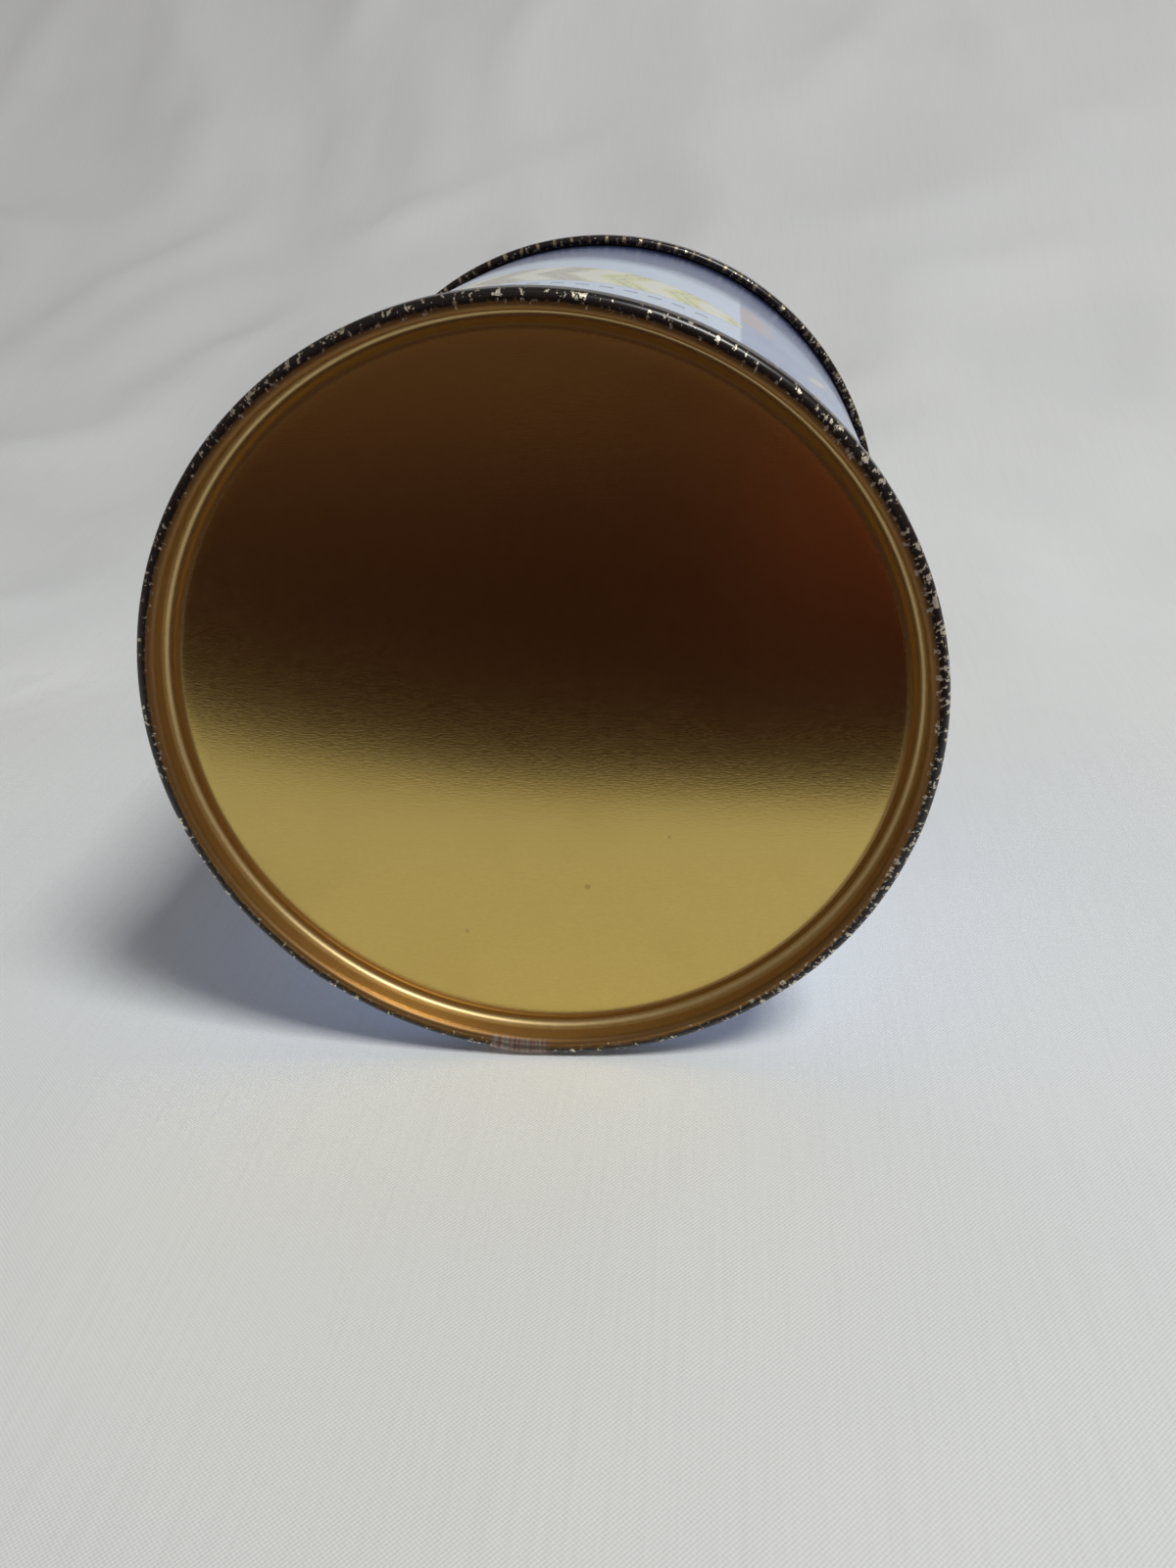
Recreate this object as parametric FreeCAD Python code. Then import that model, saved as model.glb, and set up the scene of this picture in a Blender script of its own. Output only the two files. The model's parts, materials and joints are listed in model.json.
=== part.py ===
"""Talcum powder tin: a soldered three-piece tinplate can with a turning sifter in its top.

Millimetres. The tin stands upright: +Z runs up its axis, and the origin is the centre of the ring
that it stands on. The side seam is at the back, near +Y. The sifter is shut at rest, and opens as
the dial turns anticlockwise, seen from above.
"""
import FreeCAD, Part
import math
import os

# ---- Overall sizes --------------------------------------------------------------------------
TIN_HEIGHT = 75.0         # seam tip to seam tip
SEAM_OUTER_R = 38.1       # outside of both double seams

# ---- Tinplate and double seams --------------------------------------------------------------
PLATE = 0.26              # gauge of the body and of both ends
SEAM_PLAY = 0.15          # gap between neighbouring plates in a double seam
CHUCK_PLAY = 0.05         # gap between an end's chuck wall and the body
SEAM_HEIGHT = 3.0         # tip of the seam to its rolled-in edge
TIP_BEND = 0.55           # centre-line bend at the seam's tip
HOOK_OVERLAP = 1.2        # length over which the two hooks hold each other

# ---- Pressed shape of both ends (depths are from the seam's tip, into the tin) ---------------
PANEL_DEPTH = 2.7         # outer face of the flat panel
GROOVE_DEPTH = 3.0        # outer face at the bottom of the countersink groove
GROOVE_WIDTH = 0.83       # centre-line width of the groove's floor, chuck wall to slope
GROOVE_BEND = 0.3         # centre-line bend from the groove's floor into the slope
WALL_BEND = 0.75          # centre-line bend from the chuck wall into the groove's floor
PANEL_SLOPE = 0.6         # width of the slope from the groove up to the panel
PANEL_BEND = 0.5          # centre-line bend from the slope into the panel

# ---- Side seam ------------------------------------------------------------------------------
SIDE_SEAM_ANGLE = 96.0    # place of the lap's free edge, degrees anticlockwise from +X
LAP_WIDTH = 4.2           # overlap of the body sheet on itself
JOGGLE_WIDTH = 0.8        # width of the ramp that lifts the outer plate over the inner one
SOLDER_WIDTH = 0.9        # foot of the solder fillet
SOLDER_GAP = 0.01         # solder to plate
SEAM_CLEARANCE = 0.3      # end of the lap to the double seam
SEAM_BUMP = 0.3           # how far the side seam swells each double seam
SEAM_BUMP_R = 12.0        # curvature of that swelling

# ---- Sifter: raised seat, gasket and dial ---------------------------------------------------
SEAT_R = 13.2             # centre-line radius of the raised seat's wall
SEAT_RISE = 0.6           # seat above the panel
SEAT_BEND = 0.25          # centre-line bends of the seat's wall
SIFT_HOLES = 8
SIFT_HOLE_R = 1.1
SIFT_PITCH_R = 8.6        # radius of the ring of sifting holes
GASKET_THICKNESS = 0.3
GASKET_MARGIN = 0.6       # seat's edge to gasket's edge
DIAL_OVERHANG = 2.2       # mean radius of the scalloped edge, less the seat's
SCALLOPS = 16
SCALLOP_DEPTH = 0.35      # half of the wave's height
SKIRT_GAP = 0.4           # edge of the dial's skirt to the panel
RUNNING_GAP = 0.05        # dial to gasket, and dial to spring washer

# ---- Stop: a stud on the seat in a curved slot of the dial ----------------------------------
STUD_R = 0.7
STUD_INSET = 2.0          # seat's wall to the stud's centre
STUD_ABOVE_DIAL = 0.25
SLOT_CLEARANCE = 0.15     # stud to slot, at the sides and at both stops
STUD_ANGLE = 270.0        # towards the front

# ---- Pivot ----------------------------------------------------------------------------------
RIVET_R = 1.5
RIVET_BORE_R = 0.8        # hollow tail of the semi-tubular rivet
RIVET_HEAD_R = 3.1
RIVET_HEAD_HEIGHT = 0.75
RIVET_FLARE_R = 2.5       # tail, clinched over the backing washer
RIVET_FLARE = 0.45
PIVOT_CLEARANCE = 0.05    # radial, between the rivet and what it passes through
SPRING_R = 3.9
SPRING_THICKNESS = 0.16
SPRING_DISH = 0.18
BACKING_R = 4.5
BACKING_THICKNESS = 0.5
STACK_GAP = 0.02          # between washers and their neighbours

# ---- What follows from those ----------------------------------------------------------------
LAYER = PLATE + SEAM_PLAY                       # one plate of the seam to the next
SEAM_WALL_R = SEAM_OUTER_R - PLATE / 2          # centre-lines, from the outside in
BODY_HOOK_R = SEAM_WALL_R - LAYER
COVER_HOOK_R = BODY_HOOK_R - LAYER
BODY_R = COVER_HOOK_R - LAYER
CHUCK_R = BODY_R - PLATE - CHUCK_PLAY
BODY_TIP = PLATE + SEAM_PLAY + PLATE / 2        # centre-line of the body's turned flange
HOOK_TURN = SEAM_HEIGHT - PLATE / 2             # centre-line of the end's rolled-in edge
COMPOUND_FLOOR = BODY_TIP + LAYER               # centre of the turn inside the body's flange
COMPOUND_R = LAYER - PLATE / 2                  # inner radius of that turn
COMPOUND_SKIN = 0.02                            # compound to plate
HOOK_START = COMPOUND_FLOOR + SEAM_PLAY / 2     # free edge of the end's hook
BODY_HOOK_END = HOOK_START + HOOK_OVERLAP       # free edge of the body's hook
SEAT_DEPTH = PANEL_DEPTH - SEAT_RISE            # outer face of the seat
DIAL_R = SEAT_R + DIAL_OVERHANG
STUD_PITCH_R = SEAT_R - STUD_INSET
GASKET_TOP = SEAT_DEPTH - GASKET_THICKNESS
DIAL_UNDER = GASKET_TOP - RUNNING_GAP
DIAL_TOP = DIAL_UNDER - PLATE
SPRING_UNDER = DIAL_TOP - RUNNING_GAP
SPRING_TOP = SPRING_UNDER - SPRING_THICKNESS - SPRING_DISH
HEAD_UNDER = SPRING_TOP - STACK_GAP
BACKING_TOP = SEAT_DEPTH + PLATE + STACK_GAP
BACKING_UNDER = BACKING_TOP + BACKING_THICKNESS
PIVOT_HOLE_R = RIVET_R + PIVOT_CLEARANCE
HOLE_STEP = 360.0 / SIFT_HOLES
DIAL_TRAVEL = HOLE_STEP / 2                     # shut to fully open
AXIS = FreeCAD.Vector(0, 0, 1)
CENTRE = FreeCAD.Vector(0, 0, 0)


def on_plane(r, z):
    """A point of a turned profile: r from the axis, z along it."""
    return FreeCAD.Vector(r, 0, z)


def polar(r, degrees, z=0.0):
    """A point r from the axis, at an angle from +X."""
    a = math.radians(degrees)
    return FreeCAD.Vector(r * math.cos(a), r * math.sin(a), z)


def turned(face):
    """The solid that a profile makes when it turns once about the tin's axis."""
    return face.revolve(CENTRE, AXIS, 360)


def sheet_section(points, bends, gauge):
    """The cut face of a bent sheet. points are its centre-line, and bends the radius at each inner point."""
    corners = [on_plane(*p) for p in points]
    half = gauge / 2
    runs = []
    start = corners[0]
    for before, corner, after, bend in zip(corners, corners[1:], corners[2:], bends):
        came = (corner - before).normalize()
        goes = (after - corner).normalize()
        turn = came.getAngle(goes)
        back = bend * math.tan(turn / 2)
        first = corner - came * back
        last = corner + goes * back
        inward = (goes - came).normalize()
        centre = corner + inward * (bend / math.cos(turn / 2))
        middle = centre - inward * bend
        runs.append(("run", start, first, came))
        runs.append(("arc", first, middle, last, centre))
        start = last
    runs.append(("run", start, corners[-1], (corners[-1] - start).normalize()))

    def side(sign):
        edges = []
        for kind, *where in runs:
            if kind == "run":
                a, b, along = where
                across = FreeCAD.Vector(-along.z, 0, along.x) * (sign * half)
                if (b - a).Length > 1e-6:
                    edges.append(Part.LineSegment(a + across, b + across).toShape())
            else:
                *arc, centre = where
                left = (arc[1] - arc[0]).cross(arc[2] - arc[1]).y < 0
                grow = -half if left == (sign > 0) else half
                moved = [p + (p - centre).normalize() * grow for p in arc]
                edges.append(Part.Arc(*moved).toShape())
        return edges

    right = side(1)
    left = side(-1)
    start_cap = Part.LineSegment(left[0].Vertexes[0].Point, right[0].Vertexes[0].Point).toShape()
    end_cap = Part.LineSegment(right[-1].Vertexes[-1].Point, left[-1].Vertexes[-1].Point).toShape()
    wire = Part.Wire(Part.__sortEdges__([start_cap, *right, end_cap, *left]))
    return Part.Face(wire)


def ring(outer_r, inner_r, low, high):
    """A plain washer between two heights."""
    height = high - low
    tube = Part.makeCylinder(outer_r, height, on_plane(0, low))
    return tube.cut(Part.makeCylinder(inner_r, height, on_plane(0, low)))


def hole_ring(radius, low, high, turn=0.0):
    """The cutters of the sifting holes, turned by some degrees."""
    holes = []
    for i in range(SIFT_HOLES):
        centre = polar(SIFT_PITCH_R, i * HOLE_STEP + turn, low)
        holes.append(Part.makeCylinder(radius, high - low, centre))
    return holes


def at_top(shape):
    """What was drawn by its depth from a seam's tip, placed at the top of the tin."""
    return shape.mirror(on_plane(0, TIN_HEIGHT / 2), AXIS)


def end_section(panel_start, panel_bends):
    """The profile of an end, from its middle to the hook inside the double seam."""
    panel_line = PANEL_DEPTH + PLATE / 2
    groove_line = GROOVE_DEPTH + PLATE / 2
    groove_r = CHUCK_R - GROOVE_WIDTH
    points = panel_start + [
        (groove_r - PANEL_SLOPE, panel_line),
        (groove_r, groove_line),
        (CHUCK_R, groove_line),
        (CHUCK_R, PLATE / 2),
        (SEAM_WALL_R, PLATE / 2),
        (SEAM_WALL_R, HOOK_TURN),
        (COVER_HOOK_R, HOOK_TURN),
        (COVER_HOOK_R, HOOK_START),
    ]
    hook_bend = LAYER - 0.001
    pressed = [PANEL_BEND, GROOVE_BEND, WALL_BEND, TIP_BEND]
    bends = panel_bends + pressed + [TIP_BEND, hook_bend, hook_bend]
    return sheet_section(points, bends, PLATE)


def seam_bump():
    """The swelling of a double seam where it crosses the side seam."""
    centre = polar(SEAM_OUTER_R + SEAM_BUMP - SEAM_BUMP_R, SIDE_SEAM_ANGLE, TIP_BEND + PLATE)
    height = HOOK_TURN - LAYER - TIP_BEND - PLATE
    disc = Part.makeCylinder(SEAM_BUMP_R, height, centre)
    return disc.cut(Part.makeCylinder(SEAM_WALL_R, TIN_HEIGHT))


def bottom_end():
    """The closed end: a flat panel, a countersink groove, and the outer half of the double seam."""
    return turned(end_section([(0, PANEL_DEPTH + PLATE / 2)], [])).fuse(seam_bump()).removeSplitter()


def top_end():
    """The pouring end: as the bottom, with a raised seat, its sifting holes and the dial's stop."""
    panel_line = PANEL_DEPTH + PLATE / 2
    seat_line = SEAT_DEPTH + PLATE / 2
    start = [(0, seat_line), (SEAT_R, seat_line), (SEAT_R + SEAT_RISE, panel_line)]
    end = turned(end_section(start, [SEAT_BEND, SEAT_BEND])).fuse(seam_bump())
    stud_top = DIAL_TOP - STUD_ABOVE_DIAL
    stud = Part.makeCylinder(STUD_R, seat_line - stud_top, polar(STUD_PITCH_R, STUD_ANGLE, stud_top))
    stud = stud.makeFillet(STUD_R * 0.7, [e for e in stud.Edges if e.BoundBox.ZMax < stud_top + 1e-6])
    end = end.fuse(stud)
    cutters = hole_ring(SIFT_HOLE_R, 0, GROOVE_DEPTH)
    cutters.append(Part.makeCylinder(PIVOT_HOLE_R, GROOVE_DEPTH))
    return at_top(end.cut(cutters).removeSplitter())


def body_shell():
    """One sheet rolled to a tube, hooked into both double seams and lapped at the side seam."""
    points = [
        (BODY_HOOK_R, BODY_HOOK_END),
        (BODY_HOOK_R, BODY_TIP),
        (BODY_R, BODY_TIP),
        (BODY_R, TIN_HEIGHT - BODY_TIP),
        (BODY_HOOK_R, TIN_HEIGHT - BODY_TIP),
        (BODY_HOOK_R, TIN_HEIGHT - BODY_HOOK_END),
    ]
    flange_bend = LAYER - 0.001
    tube = turned(sheet_section(points, [flange_bend] * 4, PLATE))
    outer = BODY_R + PLATE / 2
    lap_r = outer + PLATE
    degrees_per_mm = math.degrees(1 / outer)
    free_edge = SIDE_SEAM_ANGLE
    lifted = free_edge + LAP_WIDTH * degrees_per_mm
    landed = lifted + JOGGLE_WIDTH * degrees_per_mm
    low = SEAM_HEIGHT + SEAM_CLEARANCE
    outside = Part.Arc(
        polar(lap_r, free_edge, low),
        polar(lap_r, (free_edge + lifted) / 2, low),
        polar(lap_r, lifted, low),
    )
    ramp = Part.LineSegment(polar(lap_r, lifted, low), polar(outer, landed, low))
    foot = Part.LineSegment(polar(outer, landed, low), polar(BODY_R, landed, low))
    inside = Part.Arc(
        polar(BODY_R, landed, low),
        polar(BODY_R, (free_edge + landed) / 2, low),
        polar(BODY_R, free_edge, low),
    )
    step = Part.LineSegment(polar(BODY_R, free_edge, low), polar(lap_r, free_edge, low))
    outline = Part.Wire([e.toShape() for e in (outside, ramp, foot, inside, step)])
    lap = Part.Face(outline).extrude(AXIS * (TIN_HEIGHT - 2 * low))
    return tube.fuse(lap).removeSplitter()


def side_seam_solder():
    """The fillet of solder along the lap's free edge."""
    outer = BODY_R + PLATE / 2 + SOLDER_GAP
    gap = math.degrees(SOLDER_GAP / outer)
    edge = SIDE_SEAM_ANGLE - gap
    toe = edge - math.degrees(SOLDER_WIDTH / outer)
    low = SEAM_HEIGHT + SEAM_CLEARANCE
    top = outer + PLATE * 0.9
    thin = outer + PLATE * 0.15
    corners = [
        polar(outer, edge, low),
        polar(outer, toe, low),
        polar(thin, toe, low),
        polar(outer + PLATE * 0.35, (edge + toe) / 2, low),
        polar(top, edge, low),
        polar(outer, edge, low),
    ]
    section = Part.Face(Part.makePolygon(corners))
    return section.extrude(AXIS * (TIN_HEIGHT - 2 * low))


def seam_compound():
    """The ring of sealing compound in the fold of the body's hook, its section half a hexagon."""
    radius = COMPOUND_R - COMPOUND_SKIN
    middle = (BODY_R + BODY_HOOK_R) / 2
    corners = []
    for degrees in (0, 180, 240, 300, 0):
        a = math.radians(degrees)
        corners.append(on_plane(middle + radius * math.cos(a), COMPOUND_FLOOR + radius * math.sin(a)))
    return turned(Part.Face(Part.makePolygon(corners)))


def dial_gasket():
    """The waxed card disc that seals the dial, punched with the seat's holes."""
    disc = ring(SEAT_R - SEAT_BEND - GASKET_MARGIN, PIVOT_HOLE_R, GASKET_TOP, SEAT_DEPTH)
    cutters = hole_ring(SIFT_HOLE_R, 0, PANEL_DEPTH)
    stud_hole = STUD_R + SLOT_CLEARANCE
    cutters.append(Part.makeCylinder(stud_hole, PANEL_DEPTH, polar(STUD_PITCH_R, STUD_ANGLE)))
    return at_top(disc.cut(cutters))


def scalloped_disc(shrink, low, high):
    """A disc with the dial's wavy outline, drawn in by shrink."""
    steps = SCALLOPS * 8
    outline = []
    for i in range(steps):
        angle = 360.0 * i / steps
        wave = SCALLOP_DEPTH * math.cos(math.radians(SCALLOPS * angle))
        outline.append(polar(DIAL_R - shrink + wave, angle, low))
    curve = Part.BSplineCurve()
    curve.interpolate(outline, PeriodicFlag=True)
    return Part.Face(Part.Wire(curve.toShape())).extrude(AXIS * (high - low))


def stop_slot():
    """The curved slot in which the stud stops the dial when it is shut and when it is open."""
    half = STUD_R + SLOT_CLEARANCE
    ends = (STUD_ANGLE - DIAL_TRAVEL, STUD_ANGLE)
    rounds = [Part.makeCylinder(half, PANEL_DEPTH, polar(STUD_PITCH_R, a)) for a in ends]
    band = ring(STUD_PITCH_R + half, STUD_PITCH_R - half, 0, PANEL_DEPTH)
    wedge = Part.makeCylinder(SEAM_OUTER_R, PANEL_DEPTH, CENTRE, AXIS, DIAL_TRAVEL)
    wedge.rotate(CENTRE, AXIS, ends[0])
    return rounds[0].fuse([rounds[1], band.common(wedge)])


def sifter_dial():
    """The turning shutter: a shallow cap with a scalloped skirt, its own holes half a step away."""
    cap = scalloped_disc(0, DIAL_TOP, PANEL_DEPTH - SKIRT_GAP)
    hollow = scalloped_disc(PLATE, DIAL_UNDER, PANEL_DEPTH)
    cutters = hole_ring(SIFT_HOLE_R, 0, PANEL_DEPTH, HOLE_STEP - DIAL_TRAVEL)
    cutters.append(Part.makeCylinder(PIVOT_HOLE_R, PANEL_DEPTH))
    cutters.append(stop_slot())
    return at_top(cap.cut(hollow).cut(cutters))


def spring_washer():
    """The dished washer that presses the dial on its gasket."""
    inner = PIVOT_HOLE_R
    corners = [
        on_plane(inner, SPRING_TOP),
        on_plane(SPRING_R, SPRING_UNDER - SPRING_THICKNESS),
        on_plane(SPRING_R, SPRING_UNDER),
        on_plane(inner, SPRING_TOP + SPRING_THICKNESS),
    ]
    return at_top(turned(Part.Face(Part.makePolygon(corners + corners[:1]))))


def backing_washer():
    """The plain washer under the rivet's tail, inside the tin."""
    return at_top(ring(BACKING_R, PIVOT_HOLE_R, BACKING_TOP, BACKING_UNDER))


def pivot_rivet():
    """The semi-tubular rivet that the dial turns on: domed head outside, clinched tail inside."""
    head_top = HEAD_UNDER - RIVET_HEAD_HEIGHT
    flare_top = BACKING_UNDER + STACK_GAP
    tail = flare_top + RIVET_FLARE
    bore_end = BACKING_TOP
    dome = Part.Arc(
        on_plane(0, head_top),
        on_plane(RIVET_HEAD_R * 0.62, HEAD_UNDER - RIVET_HEAD_HEIGHT * 0.8),
        on_plane(RIVET_HEAD_R, HEAD_UNDER - RIVET_HEAD_HEIGHT * 0.25),
    )
    corners = [
        on_plane(RIVET_HEAD_R, HEAD_UNDER - RIVET_HEAD_HEIGHT * 0.25),
        on_plane(RIVET_HEAD_R, HEAD_UNDER),
        on_plane(RIVET_R, HEAD_UNDER),
        on_plane(RIVET_R, flare_top),
        on_plane(RIVET_FLARE_R, flare_top),
        on_plane(RIVET_FLARE_R - RIVET_FLARE / 2, tail),
        on_plane(RIVET_BORE_R, tail),
        on_plane(RIVET_BORE_R, bore_end),
        on_plane(0, bore_end),
        on_plane(0, head_top),
    ]
    wire = Part.Wire([dome.toShape(), *Part.makePolygon(corners).Edges])
    return at_top(turned(Part.Face(wire)))


PARTS = {
    "body_shell": body_shell,
    "side_seam_solder": side_seam_solder,
    "bottom_end": bottom_end,
    "bottom_seam_compound": seam_compound,
    "top_end": top_end,
    "top_seam_compound": lambda: at_top(seam_compound()),
    "dial_gasket": dial_gasket,
    "sifter_dial": sifter_dial,
    "spring_washer": spring_washer,
    "backing_washer": backing_washer,
    "pivot_rivet": pivot_rivet,
}

os.makedirs("parts", exist_ok=True)
for name, make in PARTS.items():
    shape = make()
    shape.exportStep(os.path.join("parts", name + ".step"))
    box = shape.BoundBox
    size = f"{box.XLength:.2f} x {box.YLength:.2f} x {box.ZLength:.2f}"
    print(f"{name}: {len(shape.Solids)} solid, {shape.Volume:.1f} mm3, {size}, valid {shape.isValid()}")
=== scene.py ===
# %% [markdown]
# # A talcum powder tin
#
# The real tin is a three-piece can. One sheet of printed tinplate is rolled into a tube and soldered down
# its back, and two lacquered ends are rolled on with double seams. The pouring end carries a turning
# sifter. Each sheet is built here as a bent line that is spun about the tin's axis and then given its
# gauge, because that is how such parts look when cut open, and it keeps every fold as crisp as the plate
# allows.

import bpy
import bmesh
import json
import math
from mathutils import Matrix, Vector, noise

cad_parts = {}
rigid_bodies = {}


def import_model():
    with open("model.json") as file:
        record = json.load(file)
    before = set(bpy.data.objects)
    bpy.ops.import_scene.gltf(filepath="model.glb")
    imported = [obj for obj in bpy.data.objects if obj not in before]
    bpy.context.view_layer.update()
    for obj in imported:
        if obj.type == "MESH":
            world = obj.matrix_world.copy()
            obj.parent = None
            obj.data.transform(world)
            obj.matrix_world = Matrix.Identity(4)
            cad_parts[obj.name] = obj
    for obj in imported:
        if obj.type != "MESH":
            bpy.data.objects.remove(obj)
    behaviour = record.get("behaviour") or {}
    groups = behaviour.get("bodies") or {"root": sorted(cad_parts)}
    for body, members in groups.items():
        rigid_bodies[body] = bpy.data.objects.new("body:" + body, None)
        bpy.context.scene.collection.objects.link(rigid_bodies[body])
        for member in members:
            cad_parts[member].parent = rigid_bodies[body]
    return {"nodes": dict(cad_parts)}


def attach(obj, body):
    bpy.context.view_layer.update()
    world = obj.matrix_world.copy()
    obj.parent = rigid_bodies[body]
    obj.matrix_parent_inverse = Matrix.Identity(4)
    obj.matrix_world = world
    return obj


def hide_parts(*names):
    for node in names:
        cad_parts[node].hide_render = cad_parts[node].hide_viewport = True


for leftover in list(bpy.data.objects):
    bpy.data.objects.remove(leftover)
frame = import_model()
scene = bpy.context.scene
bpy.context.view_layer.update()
print("frame pieces:", ", ".join(sorted(frame["nodes"])))

# %% [markdown]
# ## Sizes
#
# Everything below is in millimetres until a vertex is made. The tin stands on the plane z = 0 with its
# axis on the Z axis. Heights in the two ends are written as depths from a seam's tip, as a can maker
# does, so one list of corners serves the top and the bottom. A few named sizes are easier to trust than
# many bare numbers.

# %% Sizes of the tin
MM = 0.001
FULL_TURN = 2 * math.pi
AROUND = 256                # steps in one turn
TALL = 75.0
PLATE = 0.26
SEAM_R = 38.1
WALL_LINE = 37.97           # centre lines of the plates in a double seam, from the outside in
BODY_HOOK_LINE = 37.56
COVER_HOOK_LINE = 37.15
BODY_LINE = 36.74
CHUCK_LINE = 36.43
GROOVE_LINE = 35.60         # foot of the slope up to the panel
PANEL_EDGE = 35.0
PANEL_DEPTH = 2.83
GROOVE_DEPTH = 3.13
HOOK_DEPTH = 2.87
TIP_DEPTH = PLATE / 2
BODY_TIP = 0.54
SEAM_HEIGHT = 3.3           # seam and the small gap after it, where the side seam's lap stops
SIDE_SEAM = math.radians(96)
LAP = math.radians(6.53)
JOGGLE = math.radians(1.25)
SEAT_DEPTH = 2.23
HOLE_R = 1.1
HOLE_RING = 8.6
HOLES = 8
PIVOT_R = 1.55
STUD_RING = 11.2
STUD_R = 0.7

# %% [markdown]
# ## Shaping tools
#
# A pressed end or a rolled body is the same job three times over: lay its centre line, round the corners,
# spin it, and thicken it. Bevelling the loose vertices of a line gives true arcs, so no arc has to be
# worked out by hand. A Solidify modifier set to the middle of the sheet then puts half the gauge on each
# side.

# %% Bend a line and spin it
def bent_line(corners, bends, longest=1.5):
    """A line in the plane y = 0 with rounded corners, divided so that no piece is over some length."""
    bm = bmesh.new()
    points = [bm.verts.new((r * MM, 0, z * MM)) for r, z in corners]
    for pair in zip(points, points[1:]):
        bm.edges.new(pair)
    for point, before, corner, after, bend in zip(points[1:], corners, corners[1:], corners[2:], bends):
        if not bend:
            continue
        came = Vector(corner) - Vector(before)
        goes = Vector(after) - Vector(corner)
        setback = bend * math.tan(came.angle(goes) / 2)
        bmesh.ops.bevel(
            bm, geom=[point], offset=setback * MM, offset_type="OFFSET",
            affect="VERTICES", segments=6, profile=0.5, material=-1,
        )
    bmesh.ops.remove_doubles(bm, verts=bm.verts, dist=1e-8)
    for run in bm.edges[:]:
        parts = int(run.calc_length() / (longest * MM))
        if parts:
            bmesh.ops.subdivide_edges(bm, edges=[run], cuts=parts)
    return bm


def spin_round(bm, angle=FULL_TURN, steps=AROUND, geometry=None):
    """Spins what is there about the tin's axis and returns the last copy."""
    closed = angle == FULL_TURN
    made = bmesh.ops.spin(
        bm, geom=geometry or bm.verts[:] + bm.edges[:], cent=(0, 0, 0), axis=(0, 0, 1),
        dvec=(0, 0, 0), angle=angle, steps=steps, use_merge=closed,
    )
    return made["geom_last"]


def face_outwards(bm, level=None):
    """Turns an open sheet outwards, judged by its widest face or by the face nearest to a level."""
    bmesh.ops.remove_doubles(bm, verts=bm.verts, dist=1e-7)
    bmesh.ops.recalc_face_normals(bm, faces=bm.faces)
    if level is None:
        judge = max(bm.faces, key=lambda f: f.calc_center_median().xy.length)
    else:
        judge = min(bm.faces, key=lambda f: abs(f.calc_center_median().z - level * MM))
    out = judge.calc_center_median()
    if judge.normal.x * out.x + judge.normal.y * out.y < 0:
        bmesh.ops.reverse_faces(bm, faces=bm.faces)


# %% Turn a mesh into a finished piece
def as_piece(bm, name, finishes, gauge=0.0):
    """An object at the origin; an open sheet is given its gauge, half to each side."""
    mesh = bpy.data.meshes.new(name)
    bm.to_mesh(mesh)
    bm.free()
    piece = bpy.data.objects.new(name, mesh)
    scene.collection.objects.link(piece)
    for finish in finishes:
        mesh.materials.append(finish)
    if gauge:
        sheet = piece.modifiers.new("gauge", "SOLIDIFY")
        sheet.thickness = gauge * MM
        sheet.offset = 0
        sheet.use_even_offset = True
        sheet.material_offset = len(finishes) - 1
        settle(piece)
    return piece


def settle(piece):
    """Makes the modifiers permanent, then smooths every face and keeps true corners sharp."""
    drawn = bpy.data.meshes.new_from_object(
        piece.evaluated_get(bpy.context.evaluated_depsgraph_get())
    )
    drawn.name = piece.name
    piece.modifiers.clear()
    piece.data = drawn
    smooth_faces(piece)


def smooth_faces(piece, corner=38):
    """Shades the faces as one surface, except across corners sharper than some degrees."""
    piece.data.shade_smooth()
    piece.data.set_sharp_from_angle(angle=math.radians(corner))


def punch(piece, cutters):
    """Cuts the cutters out of a piece, one after another, and throws them away."""
    for cutter in cutters:
        cut = piece.modifiers.new("punch", "BOOLEAN")
        cut.operation = "DIFFERENCE"
        cut.solver = "EXACT"
        cut.object = cutter
        settle(piece)
        bpy.data.objects.remove(cutter)


def report(piece):
    """Says how large a piece came out."""
    corners = [v.co / MM for v in piece.data.vertices]
    low = [min(c[i] for c in corners) for i in range(3)]
    high = [max(c[i] for c in corners) for i in range(3)]
    spans = " x ".join(f"{b - a:.2f}" for a, b in zip(low, high))
    print(f"{piece.name}: {len(piece.data.polygons)} faces, {spans} mm, from z {low[2]:.2f}")


def at_angle(r, angle, z=0.0):
    """A point r from the axis, in metres."""
    return Vector((r * MM * math.cos(angle), r * MM * math.sin(angle), z * MM))


# %% [markdown]
# ## Finishes
#
# A finish is a small recipe of nodes. The tin's own coordinates, in millimetres, are measured first: how
# far a spot is from the axis, how high it is, and how far round it is from the side seam. Paint edges,
# chips and printing are then drawn by comparing those numbers, so the pattern stays fixed to the metal in
# every view.

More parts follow.
